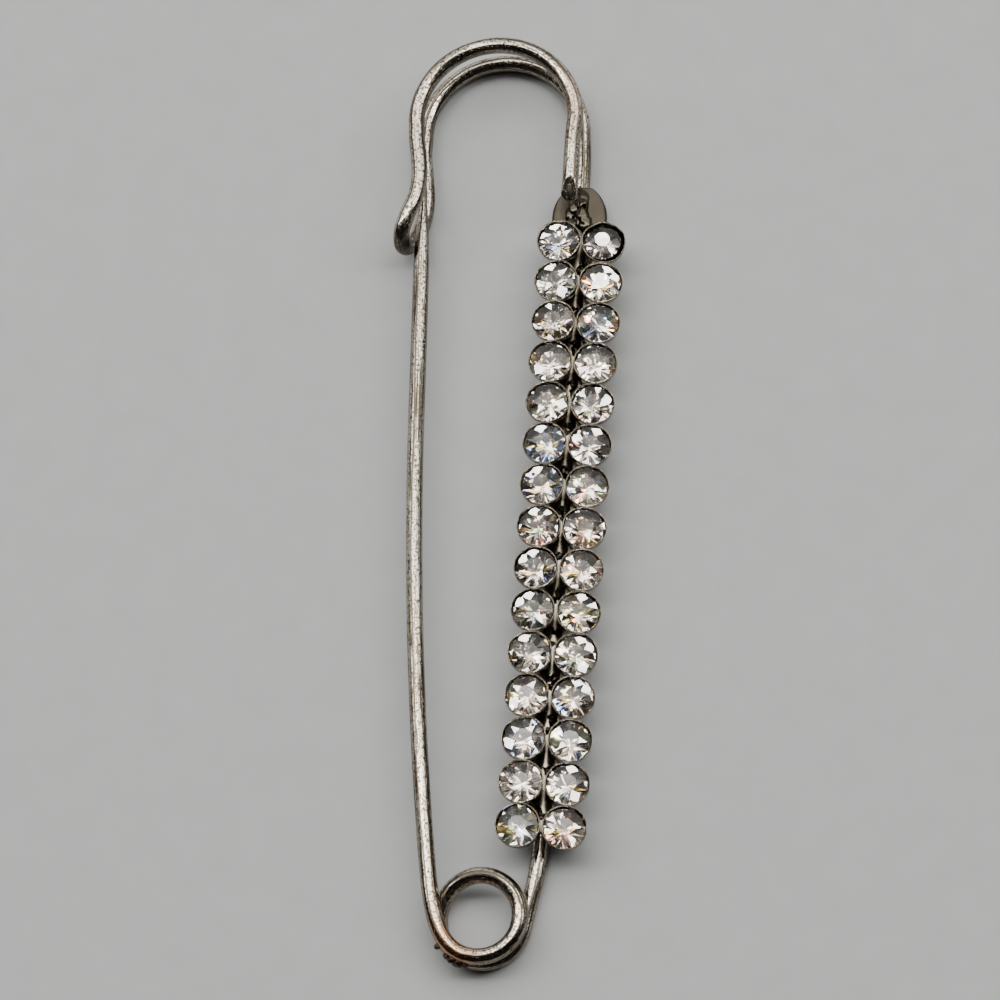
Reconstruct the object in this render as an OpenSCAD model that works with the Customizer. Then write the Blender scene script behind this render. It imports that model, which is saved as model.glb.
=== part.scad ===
// Safety pin brooch: a bent wire pin with a coil, a hook and a bar of thirty clear stones.
// It lies on its back: X to the right, Y from the coil to the head, Z up. Sizes in millimetres.

/* [Wire] */
// Diameter of the wire
wire_d = 1.3; // [1.2:0.05:1.35]
// Length of the sharpened end of the stem
point_len = 7; // [5:0.5:7.5]

/* [Coil] */
// Radius of the coil, to the middle of the wire
coil_r = 3.15; // [3.1:0.05:3.25]
// Gap between the coil's two turns
coil_gap = 0.25; // [0.2:0.05:0.35]

/* [Head] */
// Distance from the middle of the coil to the middle of the head's arches
head_y = 64.95; // [64.5:0.05:65.5]
// Radius of the head's arches, to the middle of the wire
head_r = 6.4; // [6.2:0.05:6.6]
// Height of the front arch above the back arch, middle to middle
head_rise = 3.45; // [3.3:0.05:3.7]

/* [Stem] */
// Distance of the stem from the middle of the coil, sideways
stem_x = 6.1; // [6:0.05:6.2]
// Bending radius of the stem's slow curve towards the coil
stem_bend_r = 330; // [320:5:340]

/* [Stone bar] */
// Stones in each of the two rows
rows = 15; // [10:1:15]
// Distance from one stone to the next along a row
pitch = 3.41; // [3.41:0.01:3.46]
// Distance between the two rows at the foot of the cups
row_gap = 3.28; // [3.26:0.01:3.34]
// Angle by which each cup leans outwards
cup_splay = 4; // [3.5:0.5:5]
// Angle by which the whole bar has rolled round the wire, to the right
bar_roll = 4; // [0:0.5:5]
// Distance from the middle of the coil to the lowest pair of stones
bar_y = 6.7; // [6.6:0.05:7.2]

/* [Cup] */
// Outer diameter of a cup at its rim
cup_d = 3.5; // [3.47:0.01:3.5]
// Outer diameter of a cup at its foot
cup_foot_d = 2.5; // [2.3:0.05:2.6]
// Height of a cup
cup_h = 2.1; // [2.05:0.05:2.2]
// Thickness of a cup's wall
cup_wall = 0.1; // [0.1:0.01:0.11]

/* [Stone] */
// Diameter of a stone at its girdle
stone_d = 3.2; // [3.1:0.01:3.21]
// Diameter of the flat table on top of a stone
table_d = 1.35; // [1.2:0.05:1.5]
// Height of a stone above its girdle
crown_h = 0.5; // [0.4:0.05:0.55]
// Depth of a stone below its girdle
pavilion_h = 1.25; // [1.15:0.05:1.3]
// Angle by which the loose stone at the head end stands tilted
loose_tilt = 5; // [0:0.5:5]

/* [Strip] */
// Width of the pressed strip under the cups
strip_w = 4.4; // [4:0.1:4.6]
// Thickness of the strip
strip_t = 0.4; // [0.3:0.05:0.45]
// Length of the strip's pointed head end
strip_point = 3.1; // [2.8:0.1:3.4]

/* [Hidden] */
wire_r = wire_d / 2;
// Sides of the swept wire, and of the round cups
wire_sides = 16;
cup_sides = 48;

// Heights of the middle of the wire: lying on the table, coil's upper turn, stem, front of head
low_z = wire_r;
coil_z = low_z + wire_d + coil_gap;
stem_z = coil_z + 0.15;
front_z = low_z + head_rise;

// Angles on the coil, counted along the wire from the stem's side: 180 is left, 270 is the bottom
join_a = 262;
drop_start_a = 430;
drop_end_a = 550;
stem_cut_a = 550;
frame_cut_a = 563;
leg_a = 709;
coil_step = 12;
// The upper turn doesn't lie quite over the lower one, and where it comes down it swings back
upper_shift = [-0.14, 0.1];
shift_start_a = 545;
shift_end_a = 620;

// The straight stretch of the stem, from where its slow curve ends to where its point begins
straight_y = 40;
point_y = 53;
bend_turn = 6;
bend_steps = 7;
stem_handle = 4.8;
join_handle = 2.9;
// The straight stretch stands this much proud of the swept wire, so that the two join cleanly
shank_proud = 0.005;

// The back wire's straight stretch under the stones: its two ends, in the plane of the table
back_low = [4.28, 6];
back_high = [6.5, 61];
back_turn = atan2(back_high.x - back_low.x, back_high.y - back_low.y);
leg_handle = 2.4;
function back_x(y) = back_low.x + (y - back_low.y) * tan(back_turn);

// Middles of the two arches of the head, sideways from the coil's middle
back_arch_x = 0.05;
front_arch_x = -0.2;
arch_step = 10;

// The hook, from the back arch round under the stem and back over it to the front arch
hook_x = 0;
hook_y = 1;
hook_z = 2;
hook_table = [
    // x, y from the middle of the arches, height as a share of the head's rise
    [-6.42, -1.55, 0],
    [-6.2, -3.65, 0],
    [-6.06, -5.45, 0],
    [-6.2, -7.05, 0],
    [-6.6, -8.45, 0.02],
    [-7.15, -9.55, 0.12],
    [-7.54, -10.1, 0.36],
    [-7.66, -10.05, 0.66],
    [-7.5, -9.3, 0.93],
    [-7, -7.95, 1.01],
    [-6.46, -6.55, 1],
    [-6.24, -5.05, 1],
    [-6.32, -3.35, 1],
    [-6.54, -1.65, 1]
];
hook_steps = 5;

// The front wire's free end beside the stones
end_table = [
    // x, y from the middle of the arches, height as a share of the head's rise
    [6.04, -1.75, 1],
    [5.97, -3.75, 1],
    [5.9, -5.55, 0.99],
    [5.8, -6.75, 0.97]
];

// The stones: the middle of the lowest pair, and the slant of their rows, a little more than the wire's
bar_x = 4.38;
bar_turn = 2.65;
strip_z = 0.4;
cup_sink = 0.1;
cup_floor = 0.3;
// The inside of a cup stands straight from here up to clear the stone's edge, and its outside flares a little
cup_seat = 1.5;
cup_flare = 0.05;
girdle_t = 0.1;
stone_lift = 0.14;
strip_head = 2.9;
strip_blunt = 0.5;

// Share of the girdle's radius at which the facets' inner corners lie, on top and underneath
star_share = 0.8;
lower_share = 0.28;
facets = 8;

// The loose stone's place, and the direction in which it looks
loose_row = rows - 1;
loose_col = 1;
loose_dir = 140;

side_names = ["left", "right"];
side_signs = [-1, 1];

function stone_name(col, row) = str("stone_", side_names[col], row < 9 ? "_0" : "_", row + 1);

// Small tools for points and directions

function unit(v) = v / norm(v);
function at_height(p, z) = [p.x, p.y, z];
function along(turn) = [sin(turn), cos(turn)];
function ease(t) = let (s = min(max(t, 0), 1)) s * s * (3 - 2 * s);

// Points of a curve with two end points and two handles, without its last point
function bezier(a, b, c, d, n) = [
    for (i = [0 : n - 1])
        let (t = i / n, s = 1 - t)
        s * s * s * a + 3 * s * s * t * b + 3 * s * t * t * c + t * t * t * d
];

// Points of a smooth curve through every given point, with n steps from one to the next
function smooth_step(a, b, c, d, t) =
    0.5 * (2 * b + (c - a) * t + (2 * a - 5 * b + 4 * c - d) * t * t + (3 * b - a - 3 * c + d) * t * t * t);
function smooth(points, n) = let (last = len(points) - 1) [
    for (i = [0 : last - 1])
        for (k = [0 : n - 1])
            let (a = points[max(i - 1, 0)], d = points[min(i + 2, last)])
            smooth_step(a, points[i], points[i + 1], d, k / n)
];

// Routes of the wire

function eased(a, from, to) = ease((a - from) / (to - from));
function coil_xy(a) = coil_r * [cos(a), sin(a)] + (1 - eased(a, shift_start_a, shift_end_a)) * upper_shift;
function coil_height(a) = coil_z - (coil_z - low_z) * eased(a, drop_start_a, drop_end_a);
function coil_point(a) = at_height(coil_xy(a), coil_height(a));
function coil_run(from, to) = let (n = ceil((to - from) / coil_step)) [
    for (i = [0 : n]) coil_point(from + (to - from) * i / n)
];

function arch_run(middle_x, z, from, to) = let (n = abs(to - from) / arch_step) [
    for (i = [0 : n])
        let (a = from + (to - from) * i / n)
        [middle_x + head_r * cos(a), head_y + head_r * sin(a), z]
];

function head_rows(table) = [
    for (r = table) [r[hook_x], head_y + r[hook_y], low_z + r[hook_z] * head_rise]
];

leg_out = coil_xy(leg_a);
leg_route = [
    for (p = bezier(leg_out, leg_out + leg_handle * along(-leg_a),
                    back_low - leg_handle * along(back_turn), back_low, 8))
        at_height(p, low_z)
];

// The hook never dips below the table it lies on
hook_route = [for (p = smooth(head_rows(hook_table), hook_steps)) at_height(p, max(p.z, low_z))];
end_route = head_rows(end_table);

frame_route = concat(
    coil_run(frame_cut_a, leg_a - coil_step),
    leg_route,
    [at_height(back_low, low_z), at_height(back_high, low_z), [6.53, head_y - 2, low_z]],
    arch_run(back_arch_x, low_z, 0, 180),
    hook_route,
    arch_run(front_arch_x, front_z, 180, 0),
    end_route
);

// The stem's slow curve, from its straight stretch down to the coil
function bend_point(turn) = [
    -stem_x + stem_bend_r * (1 - cos(turn)),
    straight_y - stem_bend_r * sin(turn)
];
bend_end = bend_point(bend_turn);
stem_dir = along(180 - bend_turn);
join_dir = [-sin(join_a), cos(join_a)];
join_xy = coil_xy(join_a);

stem_route = concat(
    [[-stem_x, straight_y + 1, stem_z]],
    [for (i = [0 : bend_steps - 1]) at_height(bend_point(bend_turn * i / bend_steps), stem_z)],
    [
        for (p = bezier(at_height(bend_end, stem_z), at_height(bend_end + stem_handle * stem_dir, stem_z),
                        at_height(join_xy - join_handle * join_dir, coil_z), at_height(join_xy, coil_z), 10))
            p
    ],
    coil_run(join_a, stem_cut_a)
);

// A round bar swept along a route, with slightly rounded ends

function route_dirs(route) = let (last = len(route) - 1) [
    for (i = [0 : last]) unit(route[min(i + 1, last)] - route[max(i - 1, 0)])
];
function square_to(v, dir) = unit(v - (v * dir) * dir);
function route_sides(dirs) = let (last = len(dirs) - 1) [
    for (i = 0, side = square_to([0, 0, 1], dirs[0]);
         i <= last;
         i = i + 1, side = square_to(side, dirs[min(i, last)]))
        side
];
function ring(middle, dir, side, r) = let (across = cross(dir, side)) [
    for (k = [0 : wire_sides - 1])
        let (a = 360 * k / wire_sides)
        middle + r * (cos(a) * side + sin(a) * across)
];

module swept_wire(route) {
    dirs = route_dirs(route);
    sides = route_sides(dirs);
    last = len(route) - 1;
    edge = 0.25 * wire_r;
    rings = concat(
        [ring(route[0] - edge * dirs[0], dirs[0], sides[0], wire_r - edge)],
        [for (i = [0 : last]) ring(route[i], dirs[i], sides[i], wire_r)],
        [ring(route[last] + edge * dirs[last], dirs[last], sides[last], wire_r - edge)]
    );
    n = wire_sides;
    walls = [
        for (i = [0 : len(rings) - 2])
            for (k = [0 : n - 1])
                let (next = (k + 1) % n)
                [i * n + k, (i + 1) * n + k, (i + 1) * n + next, i * n + next]
    ];
    first_cap = [for (k = [0 : n - 1]) k];
    last_cap = [for (k = [n - 1 : -1 : 0]) (len(rings) - 1) * n + k];
    polyhedron([for (r = rings) each r], concat(walls, [first_cap, last_cap]));
}

// The fixed wire with the stone bar soldered on it is one solid
module pin_frame() {
    color("silver") {
        swept_wire(frame_route);
        stone_bar();
    }
}

// The stem's straight stretch is a true round bar, and its point narrows in three steps
point_table = [
    // share of the point's length, share of the wire's radius
    [0, 1],
    [0.45, 0.78],
    [0.8, 0.45],
    [1, 0.14]
];

module pin_stem() {
    color("gainsboro") {
        swept_wire(stem_route);
        translate([-stem_x, straight_y, stem_z]) rotate([-90, 0, 0]) {
            cylinder(r = wire_r + shank_proud, h = point_y - straight_y, $fn = cup_sides);
            translate([0, 0, point_y - straight_y]) stem_point();
        }
    }
}

module stem_point() {
    rotate_extrude($fn = cup_sides)
        polygon(concat(
            [[0, 0]],
            [for (row = point_table) [row[1] * wire_r, row[0] * point_len]],
            [[0, point_len]]
        ));
}

// Places on the wire under the stones: Y along it, X across it, Z up from its middle, all rolled with the bar
module on_wire(x, turn) {
    translate([x, bar_y, low_z])
        rotate([0, 0, -turn])
            rotate([0, bar_roll, 0])
                children();
}

cup_z = strip_z + strip_t - cup_sink;

module at_cup(col, row) {
    on_wire(bar_x, bar_turn)
        translate([side_signs[col] * row_gap / 2, row * pitch, cup_z])
            rotate([0, side_signs[col] * cup_splay, 0])
                children();
}

module cup() {
    foot_r = cup_foot_d / 2;
    rim_r = cup_d / 2;
    rotate_extrude($fn = cup_sides)
        polygon([
            [0, 0],
            [foot_r, 0],
            [rim_r - cup_flare, cup_seat],
            [rim_r, cup_h],
            [rim_r - cup_wall, cup_h],
            [rim_r - cup_wall, cup_seat],
            [foot_r - cup_wall, cup_floor],
            [0, cup_floor]
        ]);
}

// The strip seen from its end: two flat wings and a ridge over the wire, filled with solder
module strip_section() {
    wing = [-strip_w / 2, strip_z];
    translate(wing) square([strip_w, strip_t]);
    intersection() {
        circle(r = wire_r + strip_t, $fn = cup_sides);
        translate(wing) square(strip_w);
    }
}

// The strip seen from above: straight sides and a pointed arch at the head end
module strip_outline(length) {
    half = strip_w / 2;
    arc_r = (half * half + strip_point * strip_point) / strip_w;
    translate([-half, 0]) square([strip_w, length]);
    translate([0, length]) intersection() {
        translate([arc_r - half, 0]) circle(r = arc_r, $fn = 96);
        translate([half - arc_r, 0]) circle(r = arc_r, $fn = 96);
        translate([-half, -0.5]) square([strip_w, strip_point - strip_blunt + 0.5]);
    }
}

module strip() {
    length = (rows - 1) * pitch + strip_head;
    full = length + strip_point;
    intersection() {
        translate([0, full, 0]) rotate([90, 0, 0]) linear_extrude(full) strip_section();
        linear_extrude(strip_w) strip_outline(length);
    }
}

module stone_bar() {
    on_wire(back_x(bar_y), back_turn) strip();
    for (col = [0, 1])
        for (row = [0 : rows - 1])
            at_cup(col, row) cup();
}

// A round brilliant: table, stars, kites, upper and lower girdle facets, and a pointed back
module stone() {
    girdle_r = stone_d / 2;
    table_r = table_d / 2;
    half_step = 180 / facets;
    star_r = star_share * girdle_r;
    lower_r = lower_share * girdle_r;
    kite_slope = crown_h / (girdle_r - table_r);
    star_z = girdle_t + crown_h - kite_slope * (star_r * cos(half_step) - table_r);
    lower_z = -pavilion_h + pavilion_h * lower_r * cos(half_step) / girdle_r;
    table_ring = [for (k = [0 : facets - 1]) rim_point(table_r, 2 * k + 1, girdle_t + crown_h)];
    star_ring = [for (k = [0 : facets - 1]) rim_point(star_r, 2 * k, star_z)];
    upper_ring = [for (k = [0 : 2 * facets - 1]) rim_point(girdle_r, k, girdle_t)];
    under_ring = [for (k = [0 : 2 * facets - 1]) rim_point(girdle_r, k, 0)];
    lower_ring = [for (k = [0 : facets - 1]) rim_point(lower_r, 2 * k, lower_z)];
    star0 = facets;
    upper0 = 2 * facets;
    under0 = 4 * facets;
    lower0 = 6 * facets;
    tip = 7 * facets;
    faces = concat(
        [[for (k = [facets - 1 : -1 : 0]) k]],
        [for (k = [0 : facets - 1]) let (before = (k + facets - 1) % facets) [before, k, star0 + k]],
        [
            for (k = [0 : facets - 1])
                [k, star0 + (k + 1) % facets, upper0 + 2 * k + 1, star0 + k]
        ],
        [for (k = [0 : facets - 1]) [star0 + k, upper0 + 2 * k + 1, upper0 + 2 * k]],
        [
            for (k = [0 : facets - 1])
                let (before = (2 * k + 2 * facets - 1) % (2 * facets))
                [star0 + k, upper0 + 2 * k, upper0 + before]
        ],
        [
            for (k = [0 : 2 * facets - 1])
                let (next = (k + 1) % (2 * facets))
                [upper0 + k, upper0 + next, under0 + next, under0 + k]
        ],
        [for (k = [0 : facets - 1]) [under0 + 2 * k, under0 + 2 * k + 1, lower0 + k]],
        [
            for (k = [0 : facets - 1])
                let (before = (2 * k + 2 * facets - 1) % (2 * facets))
                [under0 + before, under0 + 2 * k, lower0 + k]
        ],
        [
            for (k = [0 : facets - 1])
                [under0 + 2 * k + 1, lower0 + (k + 1) % facets, tip, lower0 + k]
        ]
    );
    points = concat(table_ring, star_ring, upper_ring, under_ring, lower_ring, [[0, 0, -pavilion_h]]);
    polyhedron(points, faces);
}

function rim_point(r, k, z) = let (a = k * 180 / facets) [r * cos(a), r * sin(a), z];

module stone_at(col, row) {
    tilt = col == loose_col && row == loose_row ? loose_tilt : 0;
    color("aliceblue")
        at_cup(col, row)
            translate([0, 0, cup_h - girdle_t - stone_lift])
                rotate([0, 0, loose_dir]) rotate([0, tilt, 0]) rotate([0, 0, -loose_dir])
                    stone();
}

// The middle of the whole brooch's outline goes to the origin
left_edge = min([for (p = frame_route) p.x]) - wire_r;
rim_x = row_gap / 2 + cup_h * sin(cup_splay) + cup_d / 2 * cos(cup_splay);
rim_z = cup_z + cup_h * cos(cup_splay) - cup_d / 2 * sin(cup_splay);
right_edge = bar_x + (rim_x * cos(bar_roll) + rim_z * sin(bar_roll)) * cos(bar_turn)
    + (rows - 1) * pitch * sin(bar_turn);
top_edge = max([for (p = frame_route) p.y]) + wire_r;
low_edge = -coil_r - wire_r;

module placed() {
    translate([-(left_edge + right_edge) / 2, -(top_edge + low_edge) / 2, 0]) children();
}

placed() pin_frame();
placed() pin_stem();
for (col = [0, 1])
    for (row = [0 : rows - 1])
        placed() stone_at(col, row);
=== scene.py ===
"""Looks of the safety pin brooch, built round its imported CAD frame, in millimetres until mesh making."""

import math
import random

import bpy
import numpy as np
from mathutils import Matrix, Vector, noise


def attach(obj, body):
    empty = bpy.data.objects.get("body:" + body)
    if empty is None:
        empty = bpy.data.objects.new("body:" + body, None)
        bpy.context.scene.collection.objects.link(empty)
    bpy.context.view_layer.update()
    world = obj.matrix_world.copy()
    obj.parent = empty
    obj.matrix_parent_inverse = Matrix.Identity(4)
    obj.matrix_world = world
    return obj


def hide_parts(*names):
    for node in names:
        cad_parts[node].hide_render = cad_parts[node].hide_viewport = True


MM = 0.001
SEED = 7

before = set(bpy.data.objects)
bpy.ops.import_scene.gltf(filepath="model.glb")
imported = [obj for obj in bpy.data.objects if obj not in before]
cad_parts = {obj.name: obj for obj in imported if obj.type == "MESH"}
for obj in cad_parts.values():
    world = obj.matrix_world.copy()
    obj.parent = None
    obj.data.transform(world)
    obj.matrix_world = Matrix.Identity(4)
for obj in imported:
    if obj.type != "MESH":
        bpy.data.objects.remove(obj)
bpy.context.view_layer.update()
rng = random.Random(SEED)

# Named sizes, the same as in the part's source
WIRE_R = 0.65
COIL_R = 3.15
LOW_Z = WIRE_R
COIL_GAP = 0.25
COIL_Z = LOW_Z + 2 * WIRE_R + COIL_GAP
STEM_LIFT = 0.15
STEM_Z = COIL_Z + STEM_LIFT
HEAD_Y = 64.95
HEAD_R = 6.4
HEAD_RISE = 3.45
BACK_ARCH_X = 0.05
FRONT_ARCH_X = -0.2
SHOULDER_X = 6.53
SHOULDER_DROP = 2.0
STEM_X = 6.1
STEM_BEND_R = 330.0
STEM_BEND = math.radians(6)
STRAIGHT_Y = 40.0
POINT_Y = 53.0
POINT_LEN = 7.0
ROWS = 15
PITCH = 3.41
ROW_GAP = 3.28
CUP_SPLAY = 4.0
BAR_ROLL = 4.0
BAR_Y = 6.7
BAR_X = 4.38
BAR_TURN = 2.65
CUP_D = 3.5
CUP_FOOT_D = 2.5
CUP_H = 2.1
CUP_WALL = 0.1
CUP_SEAT = 1.5
CUP_FLOOR = 0.3
STONE_D = 3.2
TABLE_D = 1.35
CROWN_H = 0.5
PAVILION_H = 1.25
GIRDLE_T = 0.1
STONE_LIFT = 0.14
STRIP_W = 4.4
STRIP_T = 0.4
STRIP_Z = 0.4
STRIP_POINT = 3.1
STRIP_HEAD = 2.9
STRIP_BLUNT = 0.5
CUP_Z = STRIP_Z + STRIP_T - 0.1
JOIN_A = 262
DROP_A = (430, 550)
SHIFT_A = (545, 620)
STEM_CUT_A = 550
FRAME_CUT_A = 563
LEG_A = 709
LEG_HANDLE = 2.4
STEM_HANDLE = 4.8
JOIN_HANDLE = 2.9
UPPER_SHIFT = np.array([-0.14, 0.1])
UPWARDS = np.array([0.0, 0.0, 1.0])
BACK_LOW = np.array([4.28, 6.0])
BACK_HIGH = np.array([6.5, 61.0])
BACK_TURN = math.atan2(BACK_HIGH[0] - BACK_LOW[0], BACK_HIGH[1] - BACK_LOW[1])
# From the source's origin, the coil's middle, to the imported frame's
OFFSET = np.array([-0.991673, -34.1, 0.0])
# Steps of the wire's lengths
LEG_STEPS = 24
STRAIGHT_STEPS = 60
SHOULDER_STEPS = 8
HOOK_STEPS = 12
END_STEPS = 10
TIP_STEPS = 28
SHANK_STEPS = 26
BEND_STEPS = 70
STEM_LEG_STEPS = 50

# The camera of the photograph, in the part's frame
CAMERA_AT = np.array([36.748, -103.02, 294.37])
CAMERA_RIGHT = (0.99278, 0.02421, -0.11746)
CAMERA_UP = (0.01578, 0.94451, 0.32811)
CAMERA_BACK = (0.11889, -0.3276, 0.93731)
LENS = 144.0


# Routes of the wire


def ease(t):
    """0 up to 0, 1 from 1 on, and a soft rise between."""
    s = min(max(t, 0.0), 1.0)
    return s * s * (3 - 2 * s)


def eased(a, span):
    return ease((a - span[0]) / (span[1] - span[0]))


def coil_point(a):
    """A point of the coil at an angle in degrees, which runs on over more than one turn."""
    xy = COIL_R * np.array([math.cos(math.radians(a)), math.sin(math.radians(a))])
    xy = xy + (1 - eased(a, SHIFT_A)) * UPPER_SHIFT
    return np.array([*xy, COIL_Z - (COIL_Z - LOW_Z) * eased(a, DROP_A)])


def coil_run(start, end, step=3.0):
    n = math.ceil((end - start) / step)
    return [coil_point(start + (end - start) * i / n) for i in range(n + 1)]


def bezier(a, b, c, d, n):
    out = []
    for i in range(n):
        t = i / n
        s = 1 - t
        out.append(s**3 * a + 3 * s * s * t * b + 3 * s * t * t * c + t**3 * d)
    return out


def smooth(points, n):
    """A smooth line through the points, with n steps from each to the next, without the last point."""
    points = [np.array(p, float) for p in points]
    last = len(points) - 1
    out = []
    for i in range(last):
        a, b, c, d = points[max(i - 1, 0)], points[i], points[i + 1], points[min(i + 2, last)]
        for k in range(n):
            t = k / n
            cubic = 3 * b - a - 3 * c + d
            out.append(0.5 * (2 * b + (c - a) * t + (2 * a - 5 * b + 4 * c - d) * t * t + cubic * t**3))
    return out


def arch_run(middle_x, z, start, end, step=3.0):
    n = int(abs(end - start) / step)
    angles = [math.radians(start + (end - start) * i / n) for i in range(n + 1)]
    return [np.array([middle_x + HEAD_R * math.cos(a), HEAD_Y + HEAD_R * math.sin(a), z]) for a in angles]


# The hook and the front arch's end: x, y from the arches' middle, height as a share of the head's rise
HOOK_TABLE = [
    (-6.42, -1.55, 0),
    (-6.2, -3.65, 0),
    (-6.06, -5.45, 0),
    (-6.2, -7.05, 0),
    (-6.6, -8.45, 0.02),
    (-7.15, -9.55, 0.12),
    (-7.54, -10.1, 0.36),
    (-7.66, -10.05, 0.66),
    (-7.5, -9.3, 0.93),
    (-7.0, -7.95, 1.01),
    (-6.46, -6.55, 1),
    (-6.24, -5.05, 1),
    (-6.32, -3.35, 1),
    (-6.54, -1.65, 1),
]
END_TABLE = [
    (6.04, -1.75, 1),
    (5.97, -3.75, 1),
    (5.9, -5.55, 0.99),
    (5.8, -6.75, 0.97),
]
# The stem's point: share of its length, share of the wire's radius
POINT_TABLE = [(0, 1), (0.45, 0.78), (0.8, 0.45), (1, 0.14)]


def head_rows(rows):
    return [np.array([x, HEAD_Y + y, LOW_Z + share * HEAD_RISE]) for x, y, share in rows]


def along(turn):
    return np.array([math.sin(turn), math.cos(turn), 0.0])


def frame_route():
    leg_out = coil_point(LEG_A)
    back_low = np.array([*BACK_LOW, LOW_Z])
    back_high = np.array([*BACK_HIGH, LOW_Z])
    leg_in = back_low - LEG_HANDLE * along(BACK_TURN)
    leg_bend = leg_out + LEG_HANDLE * along(math.radians(-LEG_A))
    leg = bezier(leg_out, leg_bend, leg_in, back_low, LEG_STEPS)
    span = back_high - back_low
    straight = [back_low + span * i / STRAIGHT_STEPS for i in range(STRAIGHT_STEPS + 1)]
    back = arch_run(BACK_ARCH_X, LOW_Z, 0, 180)
    shoulder = [back_high, np.array([SHOULDER_X, HEAD_Y - SHOULDER_DROP, LOW_Z]), back[0]]
    hook = smooth(head_rows(HOOK_TABLE), HOOK_STEPS)
    hook = [np.array([p[0], p[1], max(p[2], LOW_Z)]) for p in hook]
    front = arch_run(FRONT_ARCH_X, LOW_Z + HEAD_RISE, 180, 0)
    end_rows = head_rows(END_TABLE)
    end = smooth([front[-2], front[-1], *end_rows], END_STEPS)[END_STEPS:] + [end_rows[-1]]
    coil = coil_run(FRAME_CUT_A, LEG_A - 3)
    return coil + leg + straight + smooth(shoulder, SHOULDER_STEPS)[1:] + back + hook + front + end


def stem_route():
    def shank_point(y):
        return np.array([-STEM_X, y, STEM_Z])

    def bend_point(a):
        x = -STEM_X + STEM_BEND_R * (1 - math.cos(a))
        return np.array([x, STRAIGHT_Y - STEM_BEND_R * math.sin(a), STEM_Z])

    tip = [shank_point(POINT_Y + POINT_LEN * (1 - i / TIP_STEPS)) for i in range(TIP_STEPS)]
    shank_len = POINT_Y - STRAIGHT_Y
    shank = [shank_point(POINT_Y - shank_len * i / SHANK_STEPS) for i in range(SHANK_STEPS)]
    bend = [bend_point(STEM_BEND * i / BEND_STEPS) for i in range(BEND_STEPS)]
    bend_end = bend_point(STEM_BEND)
    stem_dir = along(math.pi - STEM_BEND)
    join = coil_point(JOIN_A)
    join_dir = np.array([-math.sin(math.radians(JOIN_A)), math.cos(math.radians(JOIN_A)), 0.0])
    leg_bend = bend_end + STEM_HANDLE * stem_dir
    leg = bezier(bend_end, leg_bend, join - JOIN_HANDLE * join_dir, join, STEM_LEG_STEPS)
    return tip + shank + bend + leg + coil_run(JOIN_A, STEM_CUT_A)


# Mesh making


def mesh_object(name, verts, faces, material, shade=True):
    mesh = bpy.data.meshes.new(name)
    mesh.from_pydata([tuple((np.array(v, float) + OFFSET) * MM) for v in verts], [], faces)
    mesh.update()
    if shade:
        mesh.polygons.foreach_set("use_smooth", [True] * len(mesh.polygons))
    for m in material if isinstance(material, (list, tuple)) else [material]:
        mesh.materials.append(m)
    obj = bpy.data.objects.new(name, mesh)
    bpy.context.scene.collection.objects.link(obj)
    return obj


def add_values(obj, name, values, kind="FLOAT"):
    attribute = obj.data.attributes.new(name, kind, "POINT")
    key = "vector" if kind == "FLOAT_VECTOR" else "value"
    attribute.data.foreach_set(key, np.array(values, np.float32).ravel())


# Only points this near the cut are moved
CUT_REACH = 2.5


def cut_back(point, cut):
    """Moves a point back on to the slanting cut of a wire's end, if it is past it."""
    middle, direction = cut
    past = (point - middle).dot(direction)
    at_end = np.linalg.norm(point - middle) < CUT_REACH
    return point - past * direction if past > 0 and at_end else point


WIRE_SIDES = 36
# The rings of a rounded end, as shares of the way to its tip
CAP_SHARES = (0.15, 0.4, 0.6, 0.8, 0.95)
SAME_POINT = 1e-4
# The wire's slight unevenness: height, and its pace round and along the wire
RIPPLE = 0.012
RIPPLE_ROUND = 2
RIPPLE_ALONG = 0.5


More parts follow.
